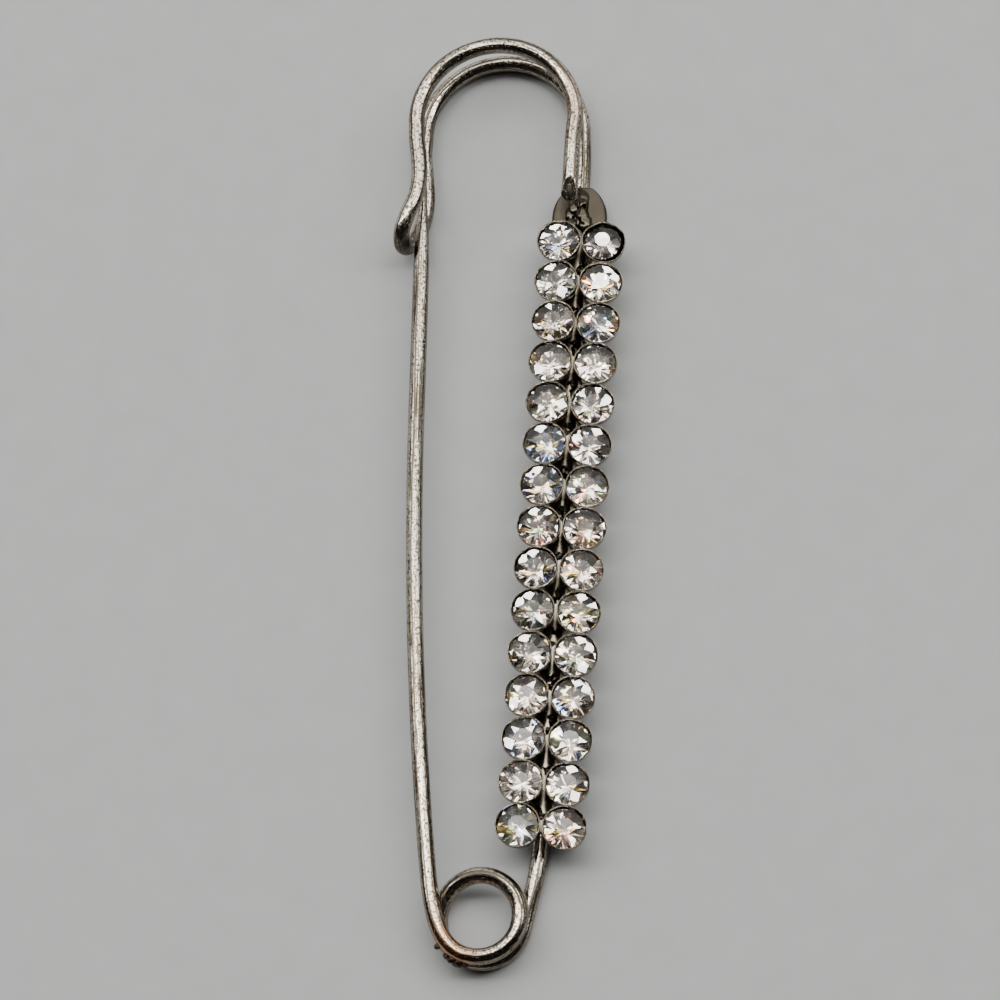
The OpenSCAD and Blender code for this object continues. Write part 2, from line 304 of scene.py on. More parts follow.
def sweep(name, route, radius_at, material, caps=(0.25, 0.25), cut=None):
    """A round bar along a route, with rounded ends, that keeps each point's place and outward direction."""

    def end_rings(ring, cap):
        middle, direction, up, r, length = ring
        out = []
        for share in CAP_SHARES:
            thin = math.sqrt(1 - share * share)
            out.append((middle + cap * share * r * direction, direction, up, r * thin, length))
        return out

    route = [np.array(p, float) for p in route]
    kept = [route[0]]
    for p in route[1:]:
        if np.linalg.norm(p - kept[-1]) > SAME_POINT:
            kept.append(p)
    route = kept
    n = len(route)
    dirs = [route[min(i + 1, n - 1)] - route[max(i - 1, 0)] for i in range(n)]
    dirs = [d / np.linalg.norm(d) for d in dirs]
    side = UPWARDS
    lengths = [0.0]
    for i in range(1, n):
        lengths.append(lengths[-1] + np.linalg.norm(route[i] - route[i - 1]))
    rings = []
    for i in range(n):
        side = side - side.dot(dirs[i]) * dirs[i]
        side = side / np.linalg.norm(side)
        rings.append((route[i], dirs[i], side.copy(), radius_at(lengths[i]), lengths[i]))
    rings = end_rings(rings[0], -caps[0])[::-1] + rings + end_rings(rings[-1], caps[1])
    verts, places, facing = [], [], []
    for middle, direction, up, r, length in rings:
        across = np.cross(direction, up)
        for k in range(WIRE_SIDES):
            a = 2 * math.pi * k / WIRE_SIDES
            c, s = math.cos(a), math.sin(a)
            spot = Vector((c * RIPPLE_ROUND, s * RIPPLE_ROUND, length * RIPPLE_ALONG))
            bump = RIPPLE * noise.noise(spot) * min(1.0, r / WIRE_R)
            outward = c * up + s * across
            verts.append(middle + (r + bump) * outward)
            places.append((c, s, length))
            facing.append(tuple(outward))
    if cut:
        verts = [cut_back(v, cut) for v in verts]
    faces = []
    sides = WIRE_SIDES
    for i in range(len(rings) - 1):
        for k in range(sides):
            j = (k + 1) % sides
            faces.append((i * sides + k, (i + 1) * sides + k, (i + 1) * sides + j, i * sides + j))
    faces.append(tuple(range(sides)))
    faces.append(tuple((len(rings) - 1) * sides + k for k in reversed(range(sides))))
    obj = mesh_object(name, verts, faces, material)
    add_values(obj, "wire_place", places, "FLOAT_VECTOR")
    add_values(obj, "facing", facing, "FLOAT_VECTOR")
    return obj, np.array(verts)


def near(points, middle, reach):
    """1 at the middle, fading to 0 at the reach."""
    d = np.linalg.norm(points - np.array(middle, float), axis=1)
    t = np.clip(1 - d / reach, 0, 1)
    return t * t * (3 - 2 * t)


def spots(points, table, most=1.0):
    """The sum of a table's spots at each point, each with its middle, reach and strength."""
    total = np.zeros(len(points))
    for middle, reach, strength in table:
        total = total + near(points, middle, reach) * strength
    return np.clip(total, 0, most)


def on_wire(x, turn):
    """The bar's own place: Y along it, X across it, Z up from the wire's middle."""
    m = Matrix.Translation((x, BAR_Y, LOW_Z))
    return m @ Matrix.Rotation(-turn, 4, "Z") @ Matrix.Rotation(math.radians(BAR_ROLL), 4, "Y")


def at_cup(col, row):
    """A cup's own place: its foot's middle, with Z up through the cup."""
    sign = (-1, 1)[col]
    m = on_wire(BAR_X, math.radians(BAR_TURN))
    m = m @ Matrix.Translation((sign * ROW_GAP / 2, row * PITCH, CUP_Z))
    return m @ Matrix.Rotation(math.radians(sign * CUP_SPLAY), 4, "Y")


def placed(matrix, points):
    return [np.array(matrix @ Vector(p)) for p in points]


# Materials


class Nodes:
    """Short names for building a material's node tree."""

    def __init__(self, name):
        self.material = bpy.data.materials.new(name)
        self.material.use_nodes = True
        self.tree = self.material.node_tree
        self.shader = self.tree.nodes["Principled BSDF"]

    def add(self, kind, inputs=None, **settings):
        node = self.tree.nodes.new("ShaderNode" + kind)
        for key, value in settings.items():
            setattr(node, key, value)
        for key, value in (inputs or {}).items():
            if isinstance(value, bpy.types.NodeSocket):
                self.tree.links.new(value, node.inputs[key])
            else:
                node.inputs[key].default_value = value
        return node

    def math(self, operation, a, b=0.0, clamp=False):
        node = self.add("Math", {0: a, 1: b}, operation=operation, use_clamp=clamp)
        return node.outputs[0]

    def range(self, value, low, high, to_low=0.0, to_high=1.0):
        node = self.add("MapRange", {"Value": value, 1: low, 2: high, 3: to_low, 4: to_high})
        return node.outputs[0]

    def mix(self, share, a, b):
        # A Mix node's colours are its inputs 6 and 7, and its mixed colour is output 2
        node = self.add("Mix", {0: share, 6: a, 7: b}, data_type="RGBA")
        return node.outputs[2]

    def noise(self, vector, scale, detail=3.0, rough=0.55):
        inputs = {"Vector": vector, "Scale": scale, "Detail": detail, "Roughness": rough}
        return self.add("TexNoise", inputs).outputs["Fac"]

    def stretched(self, vector, x, y, z):
        node = self.add("VectorMath", {0: vector, 1: (x, y, z)}, operation="MULTIPLY")
        return node.outputs[0]

    def attribute(self, name, output="Fac"):
        return self.add("Attribute", attribute_name=name).outputs[output]

    def object_mm(self):
        coord = self.add("TexCoord").outputs["Object"]
        return self.stretched(coord, 1 / MM, 1 / MM, 1 / MM)

    def link(self, output, socket):
        self.tree.links.new(output, self.shader.inputs[socket])

    def set(self, **values):
        for key, value in values.items():
            self.shader.inputs[key.replace("_", " ")].default_value = value


METAL = (0.7, 0.635, 0.53, 1)
METAL_WARM = (0.43, 0.35, 0.255, 1)
METAL_DARK = (0.032, 0.027, 0.021, 1)
COPPER = (0.5, 0.25, 0.13, 1)
# How dark each kind of mark on the wire gets, and the painted shade on its sides, from 0 to 1
LINE_DARK = 0.95
PIT_DARK = 0.9
STREAK_DARK = 0.9
GRAIN_DARK = 0.88
SEAM_DARK = 0.9
SIDE_PAINTED_SHADE = 0.6
# Roughness of the clean wire, and what dark marks and soot add to it
WIRE_ROUGH = (0.05, 0.14)
DARK_ROUGH = 0.12
SOOT_ROUGH = 0.4
WIRE_BUMP = 0.6
WIRE_BUMP_DEPTH = 0.03
SHEET_BUMP_DEPTH = 0.05
CLOUD_SHADE = 0.88
GLASS_COLOUR = (0.97, 0.97, 0.975, 1)
GLASS_IOR = 1.57
FLOOR_DARK = (0.386, 0.394, 0.396, 1)
FLOOR_LIGHT = (0.41, 0.419, 0.421, 1)
FLOOR_ROUGH = 0.8


def wire_material():
    """Drawn wire under bright plating: fine lines along it, small pits, copper where the plating is worn,
    and painted shade on its sides.
    """
    m = Nodes("plated_wire")
    # Round the wire in X and Y, and along it in Z
    place = m.attribute("wire_place", "Vector")
    lines = m.noise(m.stretched(place, 1.4, 1.4, 0.03), 1.6, 1.5, 0.5)
    grain = m.noise(m.stretched(place, 3.0, 3.0, 4.5), 1.0, 2.0, 0.6)
    fine = m.noise(m.stretched(place, 3.2, 3.2, 0.5), 1.8, 3.0, 0.65)
    pits = m.noise(m.stretched(place, 2.0, 2.0, 1.9), 2.0, 4.0, 0.72)
    grime = m.noise(m.stretched(place, 1.2, 1.2, 0.3), 1.0, 3.0, 0.5)
    off_line = m.math("ABSOLUTE", m.math("SUBTRACT", lines, 0.5))
    come_and_go = m.range(grime, 0.34, 0.5)
    line_mask = m.math("MULTIPLY", m.range(off_line, 0.018, 0.045, 1.0, 0.0), come_and_go)
    pit_mask = m.range(pits, 0.6, 0.65)
    streaks = m.range(fine, 0.54, 0.7)
    dark = m.math("MULTIPLY", line_mask, LINE_DARK)
    dark = m.math("MAXIMUM", dark, m.math("MULTIPLY", pit_mask, PIT_DARK))
    dark = m.math("MAXIMUM", dark, m.math("MULTIPLY", streaks, STREAK_DARK))
    dark = m.math("MAXIMUM", dark, m.range(grain, 0.51, 0.58, 0.0, GRAIN_DARK))
    # One long dark seam that sways a little round the wire
    around = m.add("SeparateXYZ", {0: place}).outputs["Y"]
    sway = m.noise(m.stretched(place, 0.0, 0.0, 0.07), 1.0, 2.0, 0.5)
    off_seam = m.math("SUBTRACT", around, m.range(sway, 0.3, 0.7, 0.05, 0.4))
    seam = m.range(m.math("ABSOLUTE", off_seam), 0.07, 0.16, SEAM_DARK, 0.0)
    dark = m.math("MAXIMUM", dark, seam)
    # Painted shade on the sides that face neither up nor back
    facing = m.add("SeparateXYZ", {0: m.attribute("facing", "Vector")})
    unevenness = m.math("MULTIPLY", m.math("SUBTRACT", grain, 0.5), 1.2)
    side = m.range(m.math("ADD", facing.outputs["Z"], unevenness), 0.3, 0.8, 1.0, 0.0)
    shaded = m.range(facing.outputs["Y"], 0.0, 0.25, SIDE_PAINTED_SHADE, 0.0)
    dark = m.math("MAXIMUM", dark, m.math("MULTIPLY", side, shaded))
    colour = m.mix(m.range(grime, 0.42, 0.68), METAL, METAL_WARM)
    colour = m.mix(dark, colour, METAL_DARK)
    wear = m.math("MULTIPLY", m.attribute("wear"), m.range(fine, 0.38, 0.58, 0.1, 1.0))
    colour = m.mix(wear, colour, COPPER)
    soot_and_shade = m.attribute("soot_and_shade")
    colour = m.mix(soot_and_shade, colour, METAL_DARK)
    m.link(colour, "Base Color")
    rough = m.range(fine, 0.3, 0.7, *WIRE_ROUGH)
    rough = m.math("ADD", rough, m.math("MULTIPLY", dark, DARK_ROUGH))
    rough = m.math("ADD", rough, m.math("MULTIPLY", soot_and_shade, SOOT_ROUGH), clamp=True)
    m.link(rough, "Roughness")
    height = m.math("SUBTRACT", m.math("MULTIPLY", lines, 1.6), m.math("MULTIPLY", pit_mask, 0.3))
    height = m.math("ADD", height, m.math("MULTIPLY", fine, 0.25))
    height = m.math("ADD", height, m.math("MULTIPLY", grain, 0.45))
    bump = m.add("Bump", {"Strength": WIRE_BUMP, "Distance": WIRE_BUMP_DEPTH * MM, "Height": height})
    m.link(bump.outputs["Normal"], "Normal")
    m.set(Metallic=1.0)
    return m.material


def sheet_material(name, base, dark_share, rough, bump_strength, grain=1.0):
    """Pressed or soldered metal: cloudy tone, small scratches and specks."""
    m = Nodes(name)
    at = m.object_mm()
    cloud = m.noise(at, 0.55 * grain, 4.0, 0.6)
    scratch = m.noise(m.stretched(at, 9.0, 1.2, 3.0), 0.9 * grain, 5.0, 0.7)
    specks = m.noise(at, 3.1 * grain, 3.0, 0.7)
    mask = m.math("MAXIMUM", m.range(scratch, 0.62, 0.7), m.range(specks, 0.66, 0.74))
    mask = m.math("MULTIPLY", mask, dark_share)
    shade = tuple(CLOUD_SHADE * part for part in base[:3]) + (1,)
    colour = m.mix(m.range(cloud, 0.35, 0.7), base, shade)
    colour = m.mix(mask, colour, METAL_DARK)
    # Darkened by an attribute of the mesh: painted shade on the cups, and a darker head end on the strip
    m.link(m.mix(m.attribute("soot_and_shade"), colour, METAL_DARK), "Base Color")
    m.link(m.range(cloud, 0.3, 0.7, rough * 0.7, rough * 1.4), "Roughness")
    height = m.math("ADD", cloud, m.math("MULTIPLY", scratch, 0.5))
    inputs = {"Strength": bump_strength, "Distance": SHEET_BUMP_DEPTH * MM, "Height": height}
    bump = m.add("Bump", inputs)
    m.link(bump.outputs["Normal"], "Normal")
    m.set(Metallic=1.0)
    return m.material


def glass_material():
    """Clear glass, polished, with faint smears."""
    m = Nodes("clear_glass")
    smear = m.noise(m.object_mm(), 1.4, 3.0, 0.6)
    m.link(m.range(smear, 0.45, 0.75, 0.0, 0.06), "Roughness")
    m.set(Base_Color=GLASS_COLOUR, IOR=GLASS_IOR, Transmission_Weight=1.0)
    return m.material


def foil_material():
    """The mirror behind the glass, whose facets differ in painted brightness that stands in for reflections,
    with painted fire on a few.
    """
    m = Nodes("mirror_foil")
    tint = m.attribute("painted_facet_light", "Color")
    haze = m.noise(m.object_mm(), 2.2, 3.0, 0.6)
    m.link(tint, "Base Color")
    m.link(m.range(haze, 0.3, 0.7, 0.02, 0.1), "Roughness")
    m.set(Metallic=1.0)
    return m.material


def floor_material():
    """A pale, faintly uneven table."""
    m = Nodes("pale_floor")
    grain = m.noise(m.object_mm(), 0.35, 4.0, 0.6)
    m.link(m.mix(m.range(grain, 0.3, 0.7), FLOOR_DARK, FLOOR_LIGHT), "Base Color")
    m.set(Roughness=FLOOR_ROUGH)
    return m.material


WIRE = wire_material()
CUP_METAL = sheet_material(
    "cup_metal", (0.6, 0.55, 0.46, 1), dark_share=0.95, rough=0.14, bump_strength=0.3, grain=1.4
)
# The strip's tone is painted light in the shaded gaps between the cups, and its head end is darkened again
STRIP_METAL = sheet_material(
    "strip_metal", (0.29, 0.25, 0.19, 1), dark_share=0.9, rough=0.26, bump_strength=0.35, grain=1.2
)
SOLDER = sheet_material(
    "solder", (0.06, 0.052, 0.038, 1), dark_share=0.9, rough=0.06, bump_strength=0.1, grain=0.9
)
BURR = sheet_material(
    "burr", (0.09, 0.065, 0.047, 1), dark_share=0.6, rough=0.3, bump_strength=0.9, grain=2.2
)
GLASS = glass_material()
FOIL = foil_material()


# The wire

# The front arch ends in a slanting cut on its upper side
CUT_BACK = 0.36
CUT_RISE = 0.36
CUT_SLANT = math.radians(71)
FRAME_CAPS = (0.25, 0.8)
route = frame_route()
end_way = route[-1] - route[-2]
end_way = end_way / np.linalg.norm(end_way)
cut_facing = math.cos(CUT_SLANT) * end_way + math.sin(CUT_SLANT) * UPWARDS
cut_middle = route[-1] - CUT_BACK * end_way + CUT_RISE * UPWARDS
end_cut = (cut_middle, cut_facing / np.linalg.norm(cut_facing))

# Worn and sooty spots on the wire: middle, reach, strength
FRAME_WEAR = [
    ((-2.3, -2.7, 0.4), 3.0, 0.9),
    ((6.2, 67.5, 4.1), 4.2, 0.3),
]
FRAME_SOOT = [
    ((4.3, 5.9, LOW_Z), 1.5, 0.5),
    (tuple(cut_middle), 0.75, 0.35),
    ((-7.5, 54.9, 2.9), 1.9, 0.75),
]
STEM_WEAR = [
    ((-2.5, -2.6, COIL_Z), 3.8, 1.2),
    ((-3.6, 0.3, COIL_Z), 1.6, 0.35),
]
MOST_SOOT = 0.9

frame_wire, points = sweep("frame_tube", route, lambda s: WIRE_R, WIRE, FRAME_CAPS, end_cut)
add_values(frame_wire, "wear", spots(points, FRAME_WEAR))
add_values(frame_wire, "soot_and_shade", spots(points, FRAME_SOOT, MOST_SOOT))
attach(frame_wire, "frame")
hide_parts("pin_frame")


def stem_radius(s):
    """The stem's radius at a way along it from its tip."""
    if s >= POINT_LEN:
        return WIRE_R
    share = 1 - s / POINT_LEN
    for (a, ra), (b, rb) in zip(POINT_TABLE, POINT_TABLE[1:]):
        if share <= b:
            return WIRE_R * (ra + (rb - ra) * (share - a) / (b - a))
    return WIRE_R * POINT_TABLE[-1][1]


stem_wire, points = sweep("stem_tube", stem_route(), stem_radius, WIRE)
add_values(stem_wire, "wear", spots(points, STEM_WEAR))
add_values(stem_wire, "soot_and_shade", np.zeros(len(points)))
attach(stem_wire, "stem")
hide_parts("pin_stem")

# The wire is whole at the coil, where the solids are cut: a core inside the stem's end fills the cut
CORE_THINNER = 0.025
CORE_IN_STEM = 12
CORE_IN_FRAME = 4
core_route = coil_run(STEM_CUT_A - CORE_IN_STEM, FRAME_CUT_A + CORE_IN_FRAME)
core_wire, points = sweep("coil_core", core_route, lambda s: WIRE_R - CORE_THINNER, WIRE)
add_values(core_wire, "wear", np.zeros(len(points)))
add_values(core_wire, "soot_and_shade", np.zeros(len(points)))
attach(core_wire, "frame")


# Burrs on the coil

LUMP_RINGS = 10
LUMP_SIDES = 16
LUMP_DETAIL = 1.7


def lump(verts, faces, middle, size, rough, seed):
    """Adds one uneven closed blob."""
    base = len(verts)
    sides = LUMP_SIDES
    rows = LUMP_RINGS - 1
    for i in range(1, LUMP_RINGS):
        polar = math.pi * i / LUMP_RINGS
        for k in range(sides):
            a = 2 * math.pi * k / sides
            d = np.array([math.sin(polar) * math.cos(a), math.sin(polar) * math.sin(a), math.cos(polar)])
            r = 1 + rough * noise.noise(Vector(d * LUMP_DETAIL) + Vector((seed, 0, 0)))
            verts.append(np.array(middle) + d * np.array(size) * r)
    top, bottom = len(verts), len(verts) + 1
    verts.append(np.array(middle) + np.array([0, 0, size[2]]))
    verts.append(np.array(middle) - np.array([0, 0, size[2]]))
    for i in range(rows - 1):
        for k in range(sides):
            j = (k + 1) % sides
            a, b = base + i * sides, base + (i + 1) * sides
            faces.append((a + k, b + k, b + j, a + j))
    end = base + (rows - 1) * sides
    for k in range(sides):
        j = (k + 1) % sides
        faces.append((base + k, base + j, top))
        faces.append((end + j, end + k, bottom))


def coil_skin(angle, tilt, z_middle):
    """A point on the outer skin of the coil: tilt 0 is level, 90 on top."""
    a, t = math.radians(angle), math.radians(tilt)
    reach = COIL_R + WIRE_R * math.cos(t)
    return (reach * math.cos(a), reach * math.sin(a), z_middle + WIRE_R * math.sin(t))


# Place round the coil and tilt from level, both in degrees, and size
BURRS = [
    (218, -6, 0.22),
    (234, -14, 0.26),
    (241, -18, 0.34),
    (249, -24, 0.4),
    (256, -22, 0.3),
    (268, -26, 0.18),
]
BURR_LONG = 1.4
BURR_ROUGH = 0.5
BURR_SEED_STEP = 3.7

verts, faces = [], []
for i, (angle, tilt, size) in enumerate(BURRS):
    x, y, z = coil_skin(angle, tilt, COIL_Z)
    middle = (x + UPPER_SHIFT[0], y + UPPER_SHIFT[1], z)
    lump(verts, faces, middle, (size * BURR_LONG, size, size), BURR_ROUGH, i * BURR_SEED_STEP)
burr_piece = mesh_object("coil_burrs", verts, faces, BURR)
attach(burr_piece, "stem")


# The strip

STRIP_LEN = (ROWS - 1) * PITCH + STRIP_HEAD
HALF_W = STRIP_W / 2
ARC_R = (HALF_W**2 + STRIP_POINT**2) / STRIP_W
STRIP_END = STRIP_LEN + STRIP_POINT - STRIP_BLUNT
# The ridge sinks over this length before the strip's end, by this share of the strip's thickness
RIDGE_FADE = 0.9
RIDGE_SINKS = 0.85
WING_DROOP = 0.1
# Half of the cross section, with its steps finest where the ridge meets the wing
HALF_SECTION = [0.0, 0.12, 0.24, 0.35, 0.45, 0.54, 0.6, 0.64, 0.67, 0.7, 0.76, 0.95, 1.2, 1.5, 1.8]
FIRST_STATIONS = [0.0, 0.04, 0.12]
BODY_STEPS = 60
POINT_STEPS = 26
# The rounded edge: where the face ends, and the bevel's upper and lower lines
EDGE_IN = 0.12
BEVEL_IN = 0.03
BEVEL_DOWN = 0.06
EDGE_UP = 0.16
# The head end is darker than the rest of the strip, whose lighter tone is painted light in the shaded gaps
# between the cups
HEAD_DARK = 0.92
HEAD_DARK_LEN = 2.6
HEAD_DARK_FADE = 1.0


def strip_half_width(y):
    if y <= STRIP_LEN:
        return HALF_W
    return max(0.0, HALF_W - ARC_R + math.sqrt(max(ARC_R**2 - (y - STRIP_LEN) ** 2, 0.0)))


def strip_top(x, y):
    """Height of the strip's face: flat wings, and a ridge over the wire that ends in a smooth saddle."""
    fade = ease((y - STRIP_END + RIDGE_FADE) / RIDGE_FADE)
    ridge_r = WIRE_R + STRIP_T * (1 - RIDGE_SINKS * fade)
    ridge = math.sqrt(max(ridge_r**2 - x * x, 0.0))
    wing = STRIP_Z + STRIP_T
    if y > STRIP_LEN:
        wing -= WING_DROOP * ((y - STRIP_LEN) / STRIP_POINT) ** 2
    return max(ridge, wing)


def strip_mesh():
    """The strip as a closed row of cross sections, from its lower end to its pointed head end."""
    first = FIRST_STATIONS[-1]
    body = STRIP_LEN - first
    point = STRIP_END - STRIP_LEN
    stations = FIRST_STATIONS + [first + body * i / BODY_STEPS for i in range(1, BODY_STEPS + 1)]
    stations += [STRIP_LEN + point * i / POINT_STEPS for i in range(1, POINT_STEPS + 1)]
    across = sorted({-x for x in HALF_SECTION} | set(HALF_SECTION))
    verts, faces, ring = [], [], None
    for y in stations:
        half = strip_half_width(y)
        bevel = half - BEVEL_IN
        xs = [max(-half + EDGE_IN, min(half - EDGE_IN, x)) for x in across]
        row = [(-half, y, STRIP_Z + EDGE_UP), (-bevel, y, strip_top(-bevel, y) - BEVEL_DOWN)]
        row += [(x, y, strip_top(x, y)) for x in xs]
        row += [(bevel, y, strip_top(bevel, y) - BEVEL_DOWN), (half, y, STRIP_Z + EDGE_UP)]
        row += [(x, y, strip_top(x, y) - STRIP_T) for x in reversed(xs)]
        start = len(verts)
        verts += placed(strip_place, row)
        now = list(range(start, start + len(row)))
        if ring:
            n = len(now)
            for k in range(n):
                j = (k + 1) % n
                faces.append((ring[k], ring[j], now[j], now[k]))
        else:
            faces.append(tuple(now))
        ring = now
    faces.append(tuple(reversed(ring)))
    return verts, faces


back_x = BACK_LOW[0] + (BAR_Y - BACK_LOW[1]) * math.tan(BACK_TURN)
strip_place = on_wire(back_x, BACK_TURN)
verts, faces = strip_mesh()
strip_piece = mesh_object("pressed_strip", verts, faces, STRIP_METAL)
ways_along = [(strip_place.inverted() @ Vector(v)).y for v in verts]
into_dark_head = [(y - STRIP_LEN + HEAD_DARK_LEN) / HEAD_DARK_FADE for y in ways_along]
add_values(strip_piece, "soot_and_shade", [HEAD_DARK * ease(way) for way in into_dark_head])
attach(strip_piece, "frame")


# Solder

LUMP_SEEDS = (0, 50)
# Bits in each gap between two pairs of cups: how far they lie off its middle, height, size
BITS_IN_GAP = 3
BIT_X = (-0.3, 0.3)
BIT_Y = (-0.6, 0.6)
BIT_Z = 1.0
BIT_RISE = (-0.15, 0.1)
BIT_SIZE = (0.2, 0.42)
BIT_ROUGH = 0.9
# Lumps at the head end, on the ridge past the last cups, one after the other along it
HEAD_LUMPS = 9
HEAD_LUMPS_START = (ROWS - 1) * PITCH + 1.3
HEAD_LUMP_STEP = 0.3
HEAD_LUMP_X = (-1.2, 0.5)
HEAD_LUMP_Y = (-0.2, 0.2)
HEAD_LUMP_LOWEST = 0.6
HEAD_LUMP_UP = 0.1
HEAD_LUMP_SIZE = [(0.5, 0.8), (0.6, 1.0), (0.3, 0.45)]
HEAD_LUMP_ROUGH = 0.35

verts, faces = [], []
bar_place = on_wire(BAR_X, math.radians(BAR_TURN))
for row in range(ROWS - 1):
    for k in range(BITS_IN_GAP):
        y = (row + 0.5) * PITCH + rng.uniform(*BIT_Y)
        at = bar_place @ Vector((rng.uniform(*BIT_X), y, BIT_Z + rng.uniform(*BIT_RISE)))
        size = [rng.uniform(*BIT_SIZE) for _ in range(3)]
        lump(verts, faces, tuple(at), size, BIT_ROUGH, rng.uniform(*LUMP_SEEDS))
for k in range(HEAD_LUMPS):
    x = rng.uniform(*HEAD_LUMP_X)
    y = HEAD_LUMPS_START + HEAD_LUMP_STEP * k + rng.uniform(*HEAD_LUMP_Y)
    ridge = (WIRE_R + STRIP_T) ** 2 - x * x
    z = math.sqrt(max(ridge, HEAD_LUMP_LOWEST**2)) + HEAD_LUMP_UP
    at = bar_place @ Vector((x, y, z))
    size = [rng.uniform(*span) for span in HEAD_LUMP_SIZE]
    lump(verts, faces, tuple(at), size, HEAD_LUMP_ROUGH, rng.uniform(*LUMP_SEEDS))
solder_piece = mesh_object("solder", verts, faces, SOLDER)
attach(solder_piece, "frame")


# Cups

CUP_SIDES = 56
# The thin wall waves more and more from this height up, in broad waves and in fine ones
WAVE_FROM = 1.4
WAVE_OVER = 0.7
WAVE_OUT = 0.035
FINE_OUT = 0.012
RIM_IN = 0.02
RIM_RISE = 0.03
WAVE_PACE = 1.3
FINE_PACE = 4
FINE_SEED = 9
ON_RIM = CUP_D / 2 - 0.001
# The two cups at the head end are bent more than the others
HEAD_CUP_BEND = 2.6
COLUMN_SEED = 31
ROW_SEED = 1.7
# Painted shade above a height, outside a radius, nearer the foot, and in the middle: painted dark
# reflections on the rims, and painted shade on the walls between and under the stones
RIM_SHADE_FROM = 1.7
WALL_SHADE_FROM = CUP_D / 2 - 0.35
RIM_PAINTED_SHADE = 0.78
WALL_PAINTED_SHADE = 0.5
FOOT_PAINTED_SHADE = 0.4
MIDDLE_PAINTED_SHADE = 0.85


def cup_profile():
    """Outer foot, up the flared wall, over the rounded rim and down the inside to the floor."""
    rim, foot = CUP_D / 2, CUP_FOOT_D / 2
    bore = rim - CUP_WALL
    outer = [(0.0, 0.0), (foot - 0.15, 0.0), (foot, 0.1), (foot + 0.16, 0.5), (rim - 0.15, 1.1)]
    outer += [(rim - 0.06, CUP_SEAT), (rim - 0.03, 1.8), (rim, 1.96)]
    lip = [(rim - 0.003, 2.04), (rim - 0.022, 2.085), (rim - 0.05, 2.1), (bore + 0.02, 2.085)]
    inner = [(bore, 2.04), (bore, 1.9), (bore, CUP_SEAT), (bore - 0.16, 1.1), (foot - 0.12, 0.45)]
    return outer + lip + inner + [(foot - 0.3, 0.32), (0.0, CUP_FLOOR)]


def cup_painted_shade(r, z):
    """Share of painted shade at a radius and height of the cup's wall."""
    if z > RIM_SHADE_FROM:
        return RIM_PAINTED_SHADE
    return WALL_PAINTED_SHADE if r > WALL_SHADE_FROM else FOOT_PAINTED_SHADE


def cup_mesh(verts, faces, soot_and_shade, matrix, seed, bend):
    """Adds one cup at its place. Its rim only bends inwards, so that the cup keeps its width."""
    profile = cup_profile()
    base = len(verts)
    n = CUP_SIDES
    points = []
    for r, z in profile[1:-1]:
        for k in range(n):
            a = 2 * math.pi * k / n
            c, s = math.cos(a), math.sin(a)
            lift = max(0.0, (z - WAVE_FROM) / WAVE_OVER)
            wave = noise.noise(Vector((c * WAVE_PACE, s * WAVE_PACE, seed)))
            fine = noise.noise(Vector((c * FINE_PACE, s * FINE_PACE, seed + FINE_SEED)))
            out = WAVE_OUT * wave + FINE_OUT * fine if r < ON_RIM else -abs(RIM_IN * wave)
            bent_r = r + bend * out * lift
            points.append((bent_r * c, bent_r * s, z + RIM_RISE * bend * fine * lift))
            soot_and_shade.append(cup_painted_shade(r, z))
    points += [(0.0, 0.0, 0.0), (0.0, 0.0, CUP_FLOOR)]
    soot_and_shade += [MIDDLE_PAINTED_SHADE, MIDDLE_PAINTED_SHADE]
    verts += placed(matrix, points)
    rows = len(profile) - 2
    for i in range(rows - 1):
        for k in range(n):
            j = (k + 1) % n
            a, b = base + i * n, base + (i + 1) * n
            faces.append((a + k, a + j, b + j, b + k))
    foot, floor = base + rows * n, base + rows * n + 1
    end = base + (rows - 1) * n
    for k in range(n):
        j = (k + 1) % n
        faces.append((base + j, base + k, foot))
        faces.append((end + k, end + j, floor))


verts, faces, soot_and_shade = [], [], []
for col in (0, 1):
    for row in range(ROWS):
        bend = HEAD_CUP_BEND if row == ROWS - 1 else 1.0
        seed = col * COLUMN_SEED + row * ROW_SEED
        cup_mesh(verts, faces, soot_and_shade, at_cup(col, row), seed, bend)
cups_piece = mesh_object("cups", verts, faces, CUP_METAL)
# The cups' painted shade, as an attribute of the mesh
add_values(cups_piece, "soot_and_shade", soot_and_shade)
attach(cups_piece, "frame")


# Stones

FACETS = 8
STAR_SHARE = 0.8
LOWER_SHARE = 0.28
# The foil's painted tints and brightness, which stand in for the stones' reflections and fire: a few facets
# have painted fire, and the rest are clear
CLEAR = (1.0, 0.935, 0.86)
PAINTED_FIRE = [(1.0, 0.78, 0.3), (1.0, 0.6, 0.5), (0.52, 0.66, 1.0), (0.84, 1.0, 0.62)]
PAINTED_FIRE_SHARE = 0.15
PAINTED_FACET_GREYS = [1.0, 1.0, 1.0, 0.9, 0.7, 0.4, 0.1]
PAINTED_FACET_SHARES = [1.0, 1.0, 1.0, 0.35]
# How far the facets' inner corners are off their places
CROWN_OFF = 0.03
LOWER_OFF = 0.06
LOWER_LIFT = 0.04
MOST_TILT = 1.2
# The loose stone has slid off the middle of its cup, which leaves a dark crescent
LOOSE_TILT = 5.0
LOOSE_LOOK = 140.0
LOOSE_SLIDE = (-0.09, 0.07)
LOOSE_SIZE = 0.93
LOOSE_FOIL = 0.6


